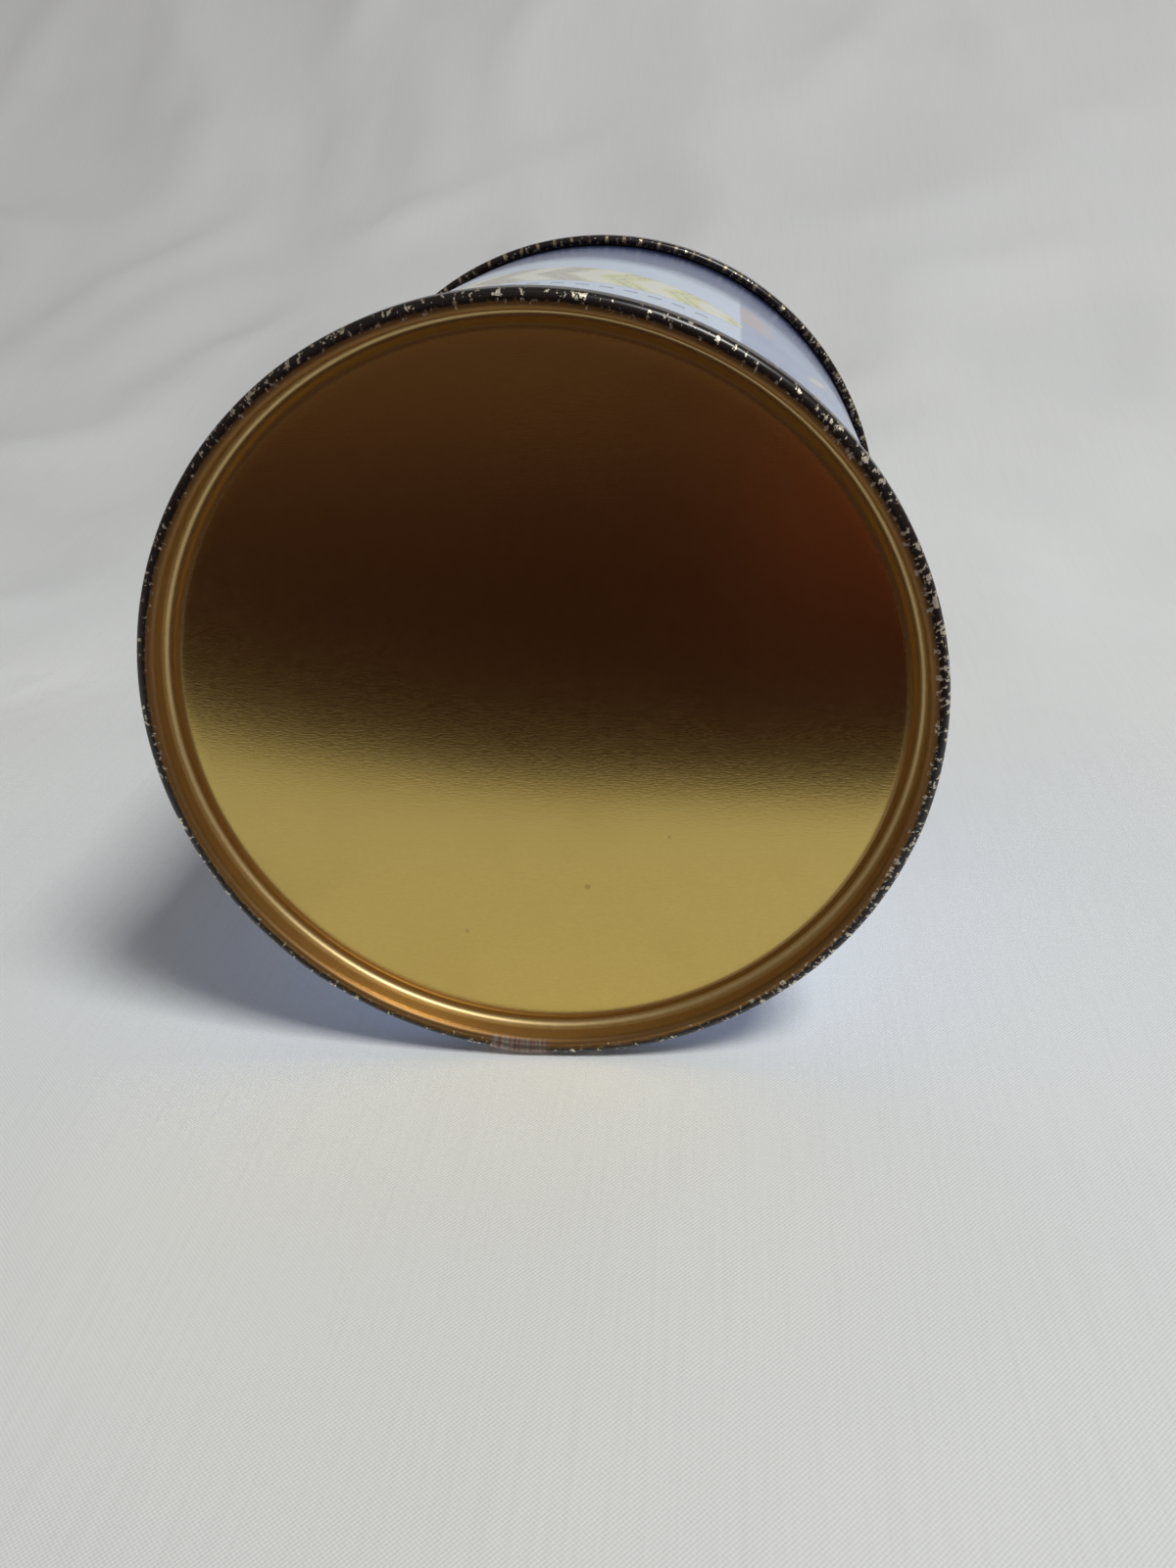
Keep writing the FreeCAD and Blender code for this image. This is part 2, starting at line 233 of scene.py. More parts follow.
# %% Recipe book for finishes
class Recipe:
    """One finish being mixed. Each method adds a node and hands back its result."""

    def __init__(self, name):
        self.finish = bpy.data.materials.new(name)
        self.finish.use_nodes = True
        self.tree = self.finish.node_tree
        self.shader = self.tree.nodes["Principled BSDF"]

    def node(self, kind, inputs, **settings):
        made = self.tree.nodes.new(kind)
        for key, value in settings.items():
            setattr(made, key, value)
        for key, value in inputs.items():
            self.give(made, key, value)
        return made

    def give(self, node, key, value):
        """Sets a socket to a number or colour, or links a result to it."""
        if isinstance(value, bpy.types.NodeSocket):
            self.tree.links.new(value, node.inputs[key])
        else:
            node.inputs[key].default_value = value

    def calc(self, operation, *values):
        return self.node("ShaderNodeMath", dict(enumerate(values)), operation=operation).outputs[0]

    def rise(self, value, low, high):
        """0 below low, 1 above high, smooth between; a high under the low gives a fall."""
        inputs = {"Value": value, "From Min": low, "From Max": high}
        return self.node("ShaderNodeMapRange", inputs, interpolation_type="SMOOTHSTEP").outputs[0]

    def between(self, value, low, high, soft):
        """1 between two limits, with soft edges inside them."""
        return self.calc("MULTIPLY", self.rise(value, low, low + soft), self.rise(value, high, high - soft))

    def blend(self, amount, first, second):
        made = self.node("ShaderNodeMix", {0: amount, 6: first, 7: second}, data_type="RGBA")
        return made.outputs[2]

    def join(self, x, y, z=0.0):
        return self.node("ShaderNodeCombineXYZ", {0: x, 1: y, 2: z}).outputs[0]

    def speckle(self, where, scale, detail=2.0, roughness=0.5):
        """Soft cloudy noise, from 0 to 1 and mostly near a half."""
        inputs = {"Vector": where, "Scale": scale, "Detail": detail, "Roughness": roughness}
        return self.node("ShaderNodeTexNoise", inputs).outputs[0]

    def measure(self):
        """Measures the spot in millimetres: x, y, z, rho from the axis and arc, with the turn in degrees."""
        place = self.node("ShaderNodeTexCoord", {}).outputs["Object"]
        self.where = self.node("ShaderNodeVectorMath", {0: place, 3: 1 / MM}, operation="SCALE").outputs[0]
        front = SIDE_SEAM - math.radians(90)
        turned = self.node(
            "ShaderNodeVectorRotate", {"Vector": self.where, "Angle": -front}, rotation_type="Z_AXIS"
        ).outputs[0]
        split = self.node("ShaderNodeSeparateXYZ", {0: self.where})
        self.x, self.y, self.z = split.outputs
        split = self.node("ShaderNodeSeparateXYZ", {0: turned})
        behind = self.calc("MULTIPLY", split.outputs[1], -1.0)
        self.rho = self.calc("SQRT", self.calc(
            "ADD", self.calc("POWER", self.x, 2.0), self.calc("POWER", self.y, 2.0)
        ))
        self.turn = self.calc("MULTIPLY", self.calc("ARCTAN2", split.outputs[0], behind), 180 / math.pi)
        self.arc = self.calc("MULTIPLY", self.turn, math.radians(1) * SEAM_R)

    def engrave(self, height, depth_mm, strength=1.0):
        """Fine relief that is too small to model, as a bump of some depth."""
        inputs = {"Height": height, "Distance": depth_mm * MM, "Strength": strength}
        bump = self.node("ShaderNodeBump", inputs)
        self.give(self.shader, "Normal", bump.outputs[0])

    def serve(self, **sockets):
        """Fills the shader's sockets and returns the material."""
        for key, value in sockets.items():
            self.give(self.shader, key.replace("_", " "), value)
        return self.finish


def tint(r, g, b):
    """A colour from its linear parts."""
    return (r, g, b, 1.0)


# %% [markdown]
# ### Gold-lacquered end with a black painted rim
#
# Both ends are tinplate under a clear gold lacquer, rolled with a fine grain along the sheet. After
# seaming, the outside of each rim was painted black, and handling has chipped it back to lacquer and bare
# tin. One metallic shader carries lacquer, paint and chips, because they share one surface; masks choose
# between them.

# %% Finish of the ends
GOLD = tint(0.66, 0.49, 0.155)
# Browner lacquer on the seam, partly painted shade.
SEAM_GOLD_AND_SHADE = tint(0.47, 0.275, 0.110)
# Painted shade on the seam's tip.
TIP_SHADE_GOLD = tint(0.26, 0.145, 0.055)
# Painted highlight: the bright ring at the foot of the chuck wall.
RING_HIGHLIGHT_GOLD = tint(0.74, 0.56, 0.28)
# Painted shade in the groove round the panel.
GROOVE_SHADE_GOLD = tint(0.36, 0.215, 0.090)
BARE_TIN = tint(0.72, 0.66, 0.54)
RIM_BLACK = tint(0.012, 0.009, 0.008)
PAINT_EDGE = 36.93          # how far from the axis the rim paint starts
PAINT_ROUGHNESS = 0.29


def lacquered_end(name, depth_from, chatter_marks):
    """The finish of an end whose seam's tip is at the height depth_from; chatter_marks is from 0 to 1."""
    mix = Recipe(name)
    mix.measure()
    depth = mix.calc("ABSOLUTE", mix.calc("SUBTRACT", mix.z, depth_from))
    around = mix.calc("ABSOLUTE", mix.turn)
    rear = mix.rise(around, 146, 162)

    # Grain: short fine scratches along the sheet's rolling direction.
    grain_place = mix.join(mix.calc("MULTIPLY", mix.x, 1.8), mix.calc("MULTIPLY", mix.y, 6.0), mix.z)
    grain = mix.speckle(grain_place, 1.0, 2.0, 0.6)
    cloudy = mix.speckle(mix.where, 0.09, 2.0)

    # Lacquer: thicker and browner on the seam, partly painted shade; the bright ring on the foot of the
    # chuck wall is a painted highlight.
    seam_tint_and_shade = mix.calc("MULTIPLY", mix.rise(mix.rho, 36.15, 36.35), mix.rise(depth, 2.35, 1.7))
    foot_highlight = mix.calc("MULTIPLY", mix.rise(mix.rho, 35.82, 36.02), mix.rise(depth, 1.90, 2.30))
    # Painted shade: the groove is drawn in a darker gold.
    groove_shade = mix.between(mix.rho, 34.50, 36.02, 0.25)
    gold = mix.blend(mix.calc("MULTIPLY", groove_shade, 0.8), GOLD, GROOVE_SHADE_GOLD)
    # Painted shade: the seam's tip is drawn darker than the rest of the seam.
    gold = mix.blend(seam_tint_and_shade, gold, mix.blend(mix.rise(depth, 0.35, 0.9), TIP_SHADE_GOLD, SEAM_GOLD_AND_SHADE))
    # Painted highlight: a bright ring on the foot of the chuck wall.
    gold = mix.blend(foot_highlight, gold, RING_HIGHLIGHT_GOLD)
    gold = mix.blend(mix.rise(grain, 0.30, 0.75), mix.blend(0.10, gold, tint(0.2, 0.1, 0.03)), gold)
    gold = mix.blend(mix.calc("MULTIPLY", mix.rise(cloudy, 0.5, 0.8), 0.2), gold, tint(0.50, 0.34, 0.10))

    # A few small brown specks, scattered over the panel.
    specks = mix.node("ShaderNodeTexVoronoi", {"Vector": mix.where, "Scale": 0.24}, feature="F1")
    pick = mix.node("ShaderNodeSeparateColor", {0: specks.outputs["Color"]}).outputs
    lone = mix.rise(pick[0], 0.80, 0.82)
    speck_size = mix.calc("MULTIPLY_ADD", pick[1], 0.09, 0.04)
    inside_speck = mix.calc("SUBTRACT", speck_size, specks.outputs["Distance"])
    speck = mix.calc("MULTIPLY", mix.rise(inside_speck, 0.0, 0.04), lone)
    speck = mix.calc("MULTIPLY", speck, mix.between(mix.rho, 2, 34.5, 0.5))
    gold = mix.blend(mix.calc("MULTIPLY", speck, 0.32), gold, tint(0.16, 0.075, 0.02))

    # Rim paint: its edge wanders, and wear has pushed it out at the back of the rim.
    wander = mix.speckle(mix.join(mix.calc("MULTIPLY", mix.arc, 0.35), 3.0), 1.0, 3.0)
    ragged = mix.speckle(mix.join(mix.calc("MULTIPLY", mix.arc, 2.2), 7.0), 1.0, 2.0)
    edge = mix.calc("MULTIPLY_ADD", wander, 0.30, PAINT_EDGE)
    edge = mix.calc("MULTIPLY_ADD", rear, 0.20, edge)
    edge = mix.calc("MULTIPLY_ADD", mix.rise(ragged, 0.56, 0.70), 0.35, edge)
    painted = mix.rise(mix.calc("SUBTRACT", mix.rho, edge), -0.02, 0.06)

    # Chips: denser on the outer bead, along the paint's edge and down one side.
    hatch_place = mix.join(
        mix.calc("MULTIPLY", mix.arc, 1.9),
        mix.calc("MULTIPLY", mix.rho, 1.1),
        mix.calc("MULTIPLY", depth, 1.1),
    )
    hatch = mix.speckle(hatch_place, 1.0, 3.0, 0.65)
    patchy = mix.speckle(mix.join(mix.calc("MULTIPLY", mix.arc, 0.13), 5.0), 1.0, 2.0)
    right_side = mix.between(mix.turn, 20, 165, 35)
    bead = mix.calc("MULTIPLY", mix.between(mix.rho, 37.45, 38.15, 0.2), mix.rise(depth, 1.5, 0.6))
    from_lip = mix.calc("ABSOLUTE", mix.calc("SUBTRACT", mix.rho, mix.calc("ADD", edge, 0.12)))
    lip = mix.rise(from_lip, 0.22, 0.08)
    worn = mix.calc("MULTIPLY_ADD", right_side, -0.045, 0.66)
    worn = mix.calc("MULTIPLY_ADD", mix.calc("MAXIMUM", bead, lip), -0.05, worn)
    worn = mix.calc("MULTIPLY_ADD", patchy, -0.14, mix.calc("ADD", worn, 0.03))
    chips = mix.rise(mix.calc("SUBTRACT", hatch, worn), 0.0, 0.035)
    chatter = mix.calc("SINE", mix.calc("MULTIPLY", mix.turn, math.radians(104)))
    streaks = mix.calc("MULTIPLY", mix.rise(chatter, 0.70, 0.95), mix.rise(hatch, 0.40, 0.52))
    streaks = mix.calc("MULTIPLY", streaks, mix.between(depth, 0.15, 3.6, 0.3))
    chips = mix.calc("MAXIMUM", chips, mix.calc("MULTIPLY", streaks, chatter_marks))
    covered = mix.calc("MULTIPLY", painted, mix.calc("SUBTRACT", 1.0, chips))
    on_rim = mix.rise(mix.rho, 36.7, 36.9)
    shiny = mix.blend(mix.calc("MULTIPLY", chips, on_rim), gold, BARE_TIN)

    # A tinned and rusty patch where the rim rides over the side seam.
    seam_patch = mix.calc("MULTIPLY", mix.rise(around, 174.6, 176.2), mix.rise(mix.rho, 36.3, 36.7))
    tinned = mix.blend(mix.rise(ragged, 0.4, 0.62), tint(0.34, 0.31, 0.29), tint(0.20, 0.085, 0.05))
    shiny = mix.blend(seam_patch, shiny, tinned)
    tin_shows = mix.calc("MULTIPLY", seam_patch, 0.85)
    covered = mix.calc("MULTIPLY", covered, mix.calc("SUBTRACT", 1.0, tin_shows))

    # One straight scratch in the lacquer, left of the middle.
    run = mix.calc("MULTIPLY_ADD", mix.x, -0.16, mix.calc("SUBTRACT", mix.y, -0.5))
    scratch = mix.calc("MULTIPLY", mix.between(run, -0.06, 0.06, 0.05), mix.between(mix.x, -16.5, -9.5, 2.0))
    shiny = mix.blend(mix.calc("MULTIPLY", scratch, 0.5), shiny, tint(0.85, 0.62, 0.3))

    # Gloss and relief: the stretched metal outside the panel is duller, and paint stands proud of it.
    rough = mix.calc("MULTIPLY_ADD", grain, 0.09, 0.130)
    rough = mix.calc("MULTIPLY_ADD", mix.rise(mix.rho, 34.3, 34.9), 0.19, rough)
    rough = mix.calc("MULTIPLY_ADD", mix.rise(mix.rho, 35.7, 36.1), 0.12, rough)
    metal_share = mix.calc("MULTIPLY", rough, mix.calc("SUBTRACT", 1.0, covered))
    rough = mix.calc("MULTIPLY_ADD", covered, PAINT_ROUGHNESS, metal_share)
    relief = mix.calc("MULTIPLY", grain, mix.rise(mix.rho, 35.4, 34.6))
    ring_place = mix.join(mix.calc("MULTIPLY", mix.rho, 5.0), mix.calc("MULTIPLY", depth, 5.0))
    rings = mix.calc("MULTIPLY", mix.speckle(ring_place, 1.0, 2.0), mix.rise(mix.rho, 34.8, 35.6))
    relief = mix.calc("MULTIPLY_ADD", rings, 0.8, relief)
    relief = mix.calc("MULTIPLY_ADD", covered, 2.0, relief)
    mix.engrave(relief, 0.0045)
    return mix.serve(
        Base_Color=mix.blend(covered, shiny, RIM_BLACK),
        Metallic=mix.calc("SUBTRACT", 1.0, covered),
        Roughness=rough,
    )


bottom_lacquer = lacquered_end("gold_lacquer_and_rim_paint_bottom", 0.0, 0.12)
top_lacquer = lacquered_end("gold_lacquer_and_rim_paint_top", TALL, 0.45)
print("finishes for the ends are mixed")

# %% [markdown]
# ### Printed tinplate
#
# The body is printed flat, before it is rolled: a pale blue ground, a navy band that fades downwards
# under the top seam and is partly painted shade right under it, a front panel with a cream crescent of
# leaves, and a quieter side panel. Flat-sheet printing leaves a bare margin for the solder. The picture is
# drawn from arc length and height, which is the flat sheet again.

# %% Finish of the body
PALE_BLUE = tint(0.590, 0.700, 0.880)
SIDE_BLUE = tint(0.315, 0.395, 0.610)
BAND_BLUE = tint(0.045, 0.080, 0.235)
# Navy print, partly painted shade under the top seam.
NAVY_PRINT_AND_SHADE = tint(0.018, 0.025, 0.070)
CREAM = tint(0.77, 0.77, 0.69)
BEIGE = tint(0.56, 0.52, 0.45)
LEAF_YELLOW = tint(0.70, 0.72, 0.38)
OUTLINE_GREY = tint(0.33, 0.33, 0.36)
BLUSH = tint(0.50, 0.43, 0.42)


def printed_tinplate():
    """The body's print, its wear and the bare margin at the side seam."""
    mix = Recipe("printed_tinplate")
    mix.measure()
    wash = mix.speckle(mix.where, 0.12, 3.0)
    fine = mix.speckle(mix.where, 1.3, 3.0, 0.6)
    front = mix.between(mix.turn, -64, 25.7, 0.25)
    ground = mix.blend(front, SIDE_BLUE, PALE_BLUE)
    washed = mix.calc("MULTIPLY", mix.rise(wash, 0.35, 0.75), 0.25)
    ground = mix.blend(washed, ground, tint(0.53, 0.60, 0.76))

    # Crescent of leaves across the front panel.
    side = mix.calc("SUBTRACT", mix.turn, -8.0)
    across = mix.calc("DIVIDE", side, 34.0)
    bow = mix.calc("POWER", across, 2.0)
    spine = mix.calc("MULTIPLY_ADD", bow, -3.5, 29.8)
    taper = mix.calc("MAXIMUM", mix.calc("SUBTRACT", 1.0, bow), 0.0)
    half_width = mix.calc("MULTIPLY", mix.calc("SQRT", taper), 7.6)
    off_spine = mix.calc("ABSOLUTE", mix.calc("SUBTRACT", mix.z, spine))
    inside = mix.calc("SUBTRACT", half_width, off_spine)
    crescent = mix.rise(inside, 0.0, 0.35)
    leaf_phase = mix.calc("MULTIPLY_ADD", off_spine, 0.40, mix.calc("MULTIPLY", side, -0.62))
    leaf_wave = mix.calc("MULTIPLY_ADD", mix.calc("SUBTRACT", fine, 0.5), 1.1, mix.calc("SINE", leaf_phase))
    leaf_ground = mix.blend(mix.rise(mix.turn, -3.0, 5.0), BEIGE, LEAF_YELLOW)
    leaves = mix.blend(mix.rise(leaf_wave, -0.2, 0.7), leaf_ground, CREAM)
    veins = mix.between(leaf_wave, -0.95, -0.55, 0.15)
    leaves = mix.blend(mix.calc("MULTIPLY", veins, 0.55), leaves, OUTLINE_GREY)
    print_colour = mix.blend(crescent, ground, leaves)
    outline = mix.between(inside, -0.25, 0.35, 0.2)
    print_colour = mix.blend(mix.calc("MULTIPLY", outline, 0.45), print_colour, OUTLINE_GREY)

    # A row of short dashes under it, and a fine double rule above the bottom seam.
    dash = mix.calc("SINE", mix.calc("MULTIPLY", mix.arc, 2.6))
    row = mix.calc("MULTIPLY", mix.between(mix.z, 18.7, 20.1, 0.2), mix.rise(dash, -0.35, -0.1))
    row = mix.calc("MULTIPLY", row, mix.between(mix.turn, -38, 21, 0.6))
    print_colour = mix.blend(mix.calc("MULTIPLY", row, 0.55), print_colour, tint(0.12, 0.15, 0.28))
    rule = mix.calc("ADD", mix.between(mix.z, 6.1, 6.45, 0.1), mix.between(mix.z, 5.3, 5.5, 0.08))
    print_colour = mix.blend(mix.calc("MULTIPLY", rule, 0.6), print_colour, tint(0.16, 0.20, 0.42))

    # Side panel: a blush strip by the border, then sprays of two grey leaves on a regular pitch.
    strip = mix.calc("MULTIPLY", mix.rise(mix.turn, 25.8, 26.1), mix.rise(mix.turn, 34.0, 29.0))
    strip = mix.calc("MULTIPLY", strip, mix.between(mix.z, 31.0, 47.0, 2.0))
    print_colour = mix.blend(mix.calc("MULTIPLY", strip, 0.9), print_colour, BLUSH)
    pitch = mix.calc("SUBTRACT", mix.calc("PINGPONG", mix.calc("ADD", mix.turn, 161.4), 11.0), 5.5)
    up_blade = mix.calc("SUBTRACT", mix.z, 33.0)
    tilt = mix.calc("MULTIPLY_ADD", up_blade, -0.45, pitch)
    blade_room = mix.calc("SUBTRACT", 1.0, mix.calc("POWER", mix.calc("DIVIDE", up_blade, 7.5), 2.0))
    blade = mix.calc("SUBTRACT", mix.calc("MULTIPLY", blade_room, 1.7), mix.calc("ABSOLUTE", tilt))
    beyond_front = mix.calc("SUBTRACT", 1.0, mix.between(mix.turn, -64.5, 34.5, 0.5))
    spray = mix.calc("MULTIPLY", mix.rise(blade, 0.0, 0.3), beyond_front)
    spray_colour = mix.blend(mix.rise(blade, 0.5, 1.2), tint(0.45, 0.47, 0.52), tint(0.66, 0.64, 0.60))
    print_colour = mix.blend(mix.calc("MULTIPLY", spray, 0.75), print_colour, spray_colour)
    border = mix.calc(
        "ADD", mix.between(mix.turn, 25.35, 26.0, 0.2), mix.between(mix.turn, -64.3, -63.7, 0.2)
    )
    print_colour = mix.blend(mix.calc("MULTIPLY", border, 0.35), print_colour, tint(0.62, 0.66, 0.80))

    # Blue band under the top seam; the navy right at the seam is print and partly painted shade.
    height = mix.calc("MULTIPLY_ADD", mix.calc("SUBTRACT", wash, 0.5), 4.0, mix.z)
    height = mix.calc("MULTIPLY_ADD", mix.calc("SUBTRACT", fine, 0.5), 2.2, height)
    print_colour = mix.blend(mix.rise(height, 44.0, 55.5), print_colour, BAND_BLUE)
    print_colour = mix.blend(mix.calc("MULTIPLY", mix.rise(height, 63.5, 70.5), 0.95), print_colour, NAVY_PRINT_AND_SHADE)

    # Wear: pin-prick chips, denser by the seams, and the bare soldered margin.
    pits = mix.node("ShaderNodeTexVoronoi", {"Vector": mix.where, "Scale": 0.42}, feature="F1")
    chosen = mix.node("ShaderNodeSeparateColor", {0: pits.outputs["Color"]}).outputs[1]
    near_seam = mix.calc("ADD", mix.rise(mix.z, 58, 71), mix.rise(mix.z, 9, 4))
    pit_size = mix.calc("MULTIPLY_ADD", near_seam, 0.07, 0.03)
    pitted = mix.calc("LESS_THAN", pits.outputs["Distance"], pit_size)
    chip = mix.calc("MULTIPLY", mix.rise(chosen, 0.80, 0.82), pitted)
    around = mix.calc("ABSOLUTE", mix.turn)
    ragged = mix.calc("MULTIPLY_ADD", mix.calc("SUBTRACT", fine, 0.5), 1.6, around)
    margin = mix.rise(ragged, 175.2, 175.7)
    solder_place = mix.join(mix.calc("MULTIPLY", mix.arc, 0.5), mix.calc("MULTIPLY", mix.z, 0.22))
    solder_wash = mix.speckle(solder_place, 1.0, 3.0)
    tin = mix.blend(mix.rise(solder_wash, 0.38, 0.68), tint(0.50, 0.48, 0.45), tint(0.33, 0.30, 0.27))
    rust = mix.rise(mix.speckle(mix.where, 0.75, 4.0, 0.65), 0.60, 0.70)
    tin = mix.blend(mix.calc("MULTIPLY", rust, 0.6), tin, tint(0.17, 0.065, 0.025))
    bare = mix.calc("MAXIMUM", chip, margin)
    print_rough = mix.calc("MULTIPLY_ADD", fine, 0.08, 0.20)
    tin_rough = mix.calc("MULTIPLY_ADD", solder_wash, 0.3, 0.25)
    rough = mix.blend(bare, print_rough, tin_rough)
    mix.engrave(mix.calc("MULTIPLY_ADD", bare, -1.2, mix.calc("MULTIPLY", wash, 0.5)), 0.01)
    return mix.serve(
        Base_Color=mix.blend(bare, print_colour, tin),
        Metallic=mix.calc("MULTIPLY", bare, 0.9),
        Roughness=rough,
        Specular_IOR_Level=0.25,
        Coat_Weight=0.12,
        Coat_Roughness=0.15,
    )


body_print = printed_tinplate()
print("finish for the body is mixed")

# %% [markdown]
# ### The quieter metals, the card and the compound
#
# Inside, the sheets are plain tinplate with its crystal spangle. The solder is dull and lumpy, the dial
# wears the ends' lacquer rubbed thin at its grip, and the small fittings are brass, spring steel and bare
# tin. They all vary one noise recipe, so a helper mixes them and only the colours, gloss and scale are
# told apart.

# %% Finishes of the small pieces
def mottled(name, light, dark, metallic, rough_low, rough_high, scale, relief=0.01):
    """A surface whose colour, gloss and relief all follow one cloudy pattern."""
    mix = Recipe(name)
    mix.measure()
    cloud = mix.speckle(mix.where, scale, 4.0, 0.6)
    fine = mix.speckle(mix.where, scale * 9, 2.0)
    mix.engrave(mix.calc("ADD", cloud, mix.calc("MULTIPLY", fine, 0.4)), relief)
    return mix.serve(
        Base_Color=mix.blend(mix.rise(cloud, 0.35, 0.68), light, dark),
        Metallic=metallic,
        Roughness=mix.node(
            "ShaderNodeMapRange", {"Value": fine, "To Min": rough_low, "To Max": rough_high}
        ).outputs[0],
    )


inside_tin = mottled(
    "plain_tinplate_inside", tint(0.58, 0.56, 0.52), tint(0.44, 0.42, 0.39), 1.0, 0.22, 0.42, 0.22
)
solder_grey = mottled(
    "soft_solder", tint(0.50, 0.49, 0.47), tint(0.27, 0.25, 0.23), 0.9, 0.32, 0.6, 0.8, relief=0.03
)
washer_tin = mottled(
    "bare_tinplate", tint(0.60, 0.58, 0.55), tint(0.45, 0.43, 0.40), 1.0, 0.25, 0.4, 0.5
)
spring_blue = mottled(
    "spring_steel", tint(0.33, 0.34, 0.38), tint(0.20, 0.20, 0.24), 1.0, 0.25, 0.4, 0.6
)
compound_grey = mottled(
    "sealing_compound", tint(0.20, 0.21, 0.18), tint(0.13, 0.14, 0.12), 0.0, 0.6, 0.8, 0.5
)
card_tan = mottled(
    "waxed_card", tint(0.50, 0.36, 0.20), tint(0.36, 0.24, 0.12), 0.0, 0.45, 0.65, 1.1, relief=0.02
)


def brass_rivet_finish():
    """Brass, darker toward the edge of the head."""
    mix = Recipe("rivet_brass")
    mix.measure()
    cloud = mix.speckle(mix.where, 0.9, 4.0)
    edge = mix.rise(mix.rho, 2.2, 3.1)
    brass = mix.blend(mix.rise(cloud, 0.35, 0.7), tint(0.74, 0.54, 0.22), tint(0.52, 0.34, 0.12))
    brass = mix.blend(mix.calc("MULTIPLY", edge, 0.7), brass, tint(0.20, 0.12, 0.05))
    mix.engrave(cloud, 0.01)
    return mix.serve(Base_Color=brass, Metallic=1.0, Roughness=mix.calc("MULTIPLY_ADD", cloud, 0.2, 0.16))


def dial_finish():
    """Gold lacquer with a turned grain, rubbed to bare tin on the scallops and darker round the rivet."""
    mix = Recipe("gold_lacquer_dial")
    mix.measure()
    lathe_place = mix.join(mix.calc("MULTIPLY", mix.rho, 6.0), mix.calc("MULTIPLY", mix.turn, 0.02))
    lathe = mix.speckle(lathe_place, 1.0, 3.0)
    cloud = mix.speckle(mix.where, 0.35, 4.0, 0.6)
    gold = mix.blend(mix.rise(cloud, 0.35, 0.7), GOLD, tint(0.50, 0.33, 0.09))
    rubbed = mix.calc("MULTIPLY", mix.rise(mix.rho, 14.6, 15.3), mix.rise(cloud, 0.42, 0.55))
    darker_round_rivet = mix.calc("MULTIPLY", mix.rise(mix.rho, 4.6, 3.4), 0.8)
    colour = mix.blend(rubbed, gold, BARE_TIN)
    colour = mix.blend(darker_round_rivet, colour, tint(0.12, 0.07, 0.03))
    mix.engrave(mix.calc("MULTIPLY", lathe, 0.8), 0.006)
    return mix.serve(
        Base_Color=colour, Metallic=1.0, Roughness=mix.calc("MULTIPLY_ADD", lathe, 0.14, 0.16)
    )


rivet_brass = brass_rivet_finish()
dial_gold = dial_finish()

# %% [markdown]
# ## The two ends
#
# Each end is one disc of tinplate, pressed with a sunk panel, a groove and a chuck wall, then rolled over
# the body's flange. It could be lathe-turned as a solid, but a bent sheet shows the real gauge at the
# hook. Hand seaming leaves a rim that wavers by a few hundredths, and it swells where it has to swallow
# the side seam.

# %% Waver and swelling
SEAM_BUMP = 0.3
SEAM_BUMP_R = 12.0


def seam_swell(angle):
    """How far the rim stands out at an angle, in millimetres."""
    off = (angle - SIDE_SEAM + math.pi) % FULL_TURN - math.pi
    reach = SEAM_R + SEAM_BUMP - SEAM_BUMP_R
    under = SEAM_BUMP_R**2 - (reach * math.sin(off))**2
    if under < 0 or abs(off) > 1:
        return 0.0
    return max(0.0, reach * math.cos(off) + math.sqrt(under) - SEAM_R)


def unsettle(bm, seed, rim=0.022, panel=0.035):
    """Gives a pressed end a real one's small waver, mostly inwards, and its swelling at the side seam."""
    for vert in bm.verts:
        r = vert.co.xy.length / MM
        if r < 1e-3:
            continue
        angle = math.atan2(vert.co.y, vert.co.x)
        flat = Vector((math.cos(angle), math.sin(angle), seed))
        wall = min(max((r - 36.8) / 1.1, 0.0), 1.0)
        waver = (noise.noise(flat * 5) - 0.5) * rim
        grow = (waver + seam_swell(angle)) * wall
        vert.co.xy *= (r + grow) / r
        if r < 34:
            sag = noise.noise(Vector((vert.co.x, vert.co.y, seed * MM)) * 38) * (1 - (r / 34)**2)
            vert.co.z += sag * panel * MM


def end_corners(start):
    """The centre line of an end from its middle to its hook, as (radius, depth)."""
    return start + [
        (PANEL_EDGE, PANEL_DEPTH),
        (GROOVE_LINE, GROOVE_DEPTH),
        (CHUCK_LINE, GROOVE_DEPTH),
        (CHUCK_LINE, TIP_DEPTH),
        (WALL_LINE, TIP_DEPTH),
        (WALL_LINE, HOOK_DEPTH),
        (COVER_HOOK_LINE, HOOK_DEPTH),
        (COVER_HOOK_LINE, 1.1),
    ]


END_BENDS = [0.5, 0.3, 0.75, 0.55, 0.55, 0.405, 0.405]

# %% Bottom end
bm = bent_line(end_corners([(0, PANEL_DEPTH)]), END_BENDS)
spin_round(bm)
face_outwards(bm)
unsettle(bm, seed=2.0)
bottom_sheet = as_piece(bm, "bottom_end_sheet", [bottom_lacquer, inside_tin], gauge=PLATE)
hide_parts("bottom_end")
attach(bottom_sheet, "tin")
report(bottom_sheet)

# %% [markdown]
# ### The pouring end
#
# The top end has a low raised seat for the sifter, eight sifting holes, a pivot hole and a small stud
# that stops the dial. The holes are punched with boolean cutters after the sheet has its gauge, which is
# also how a press does it. The stud is a short turned pin with a rounded head, standing on the seat
# inside the dial's slot.

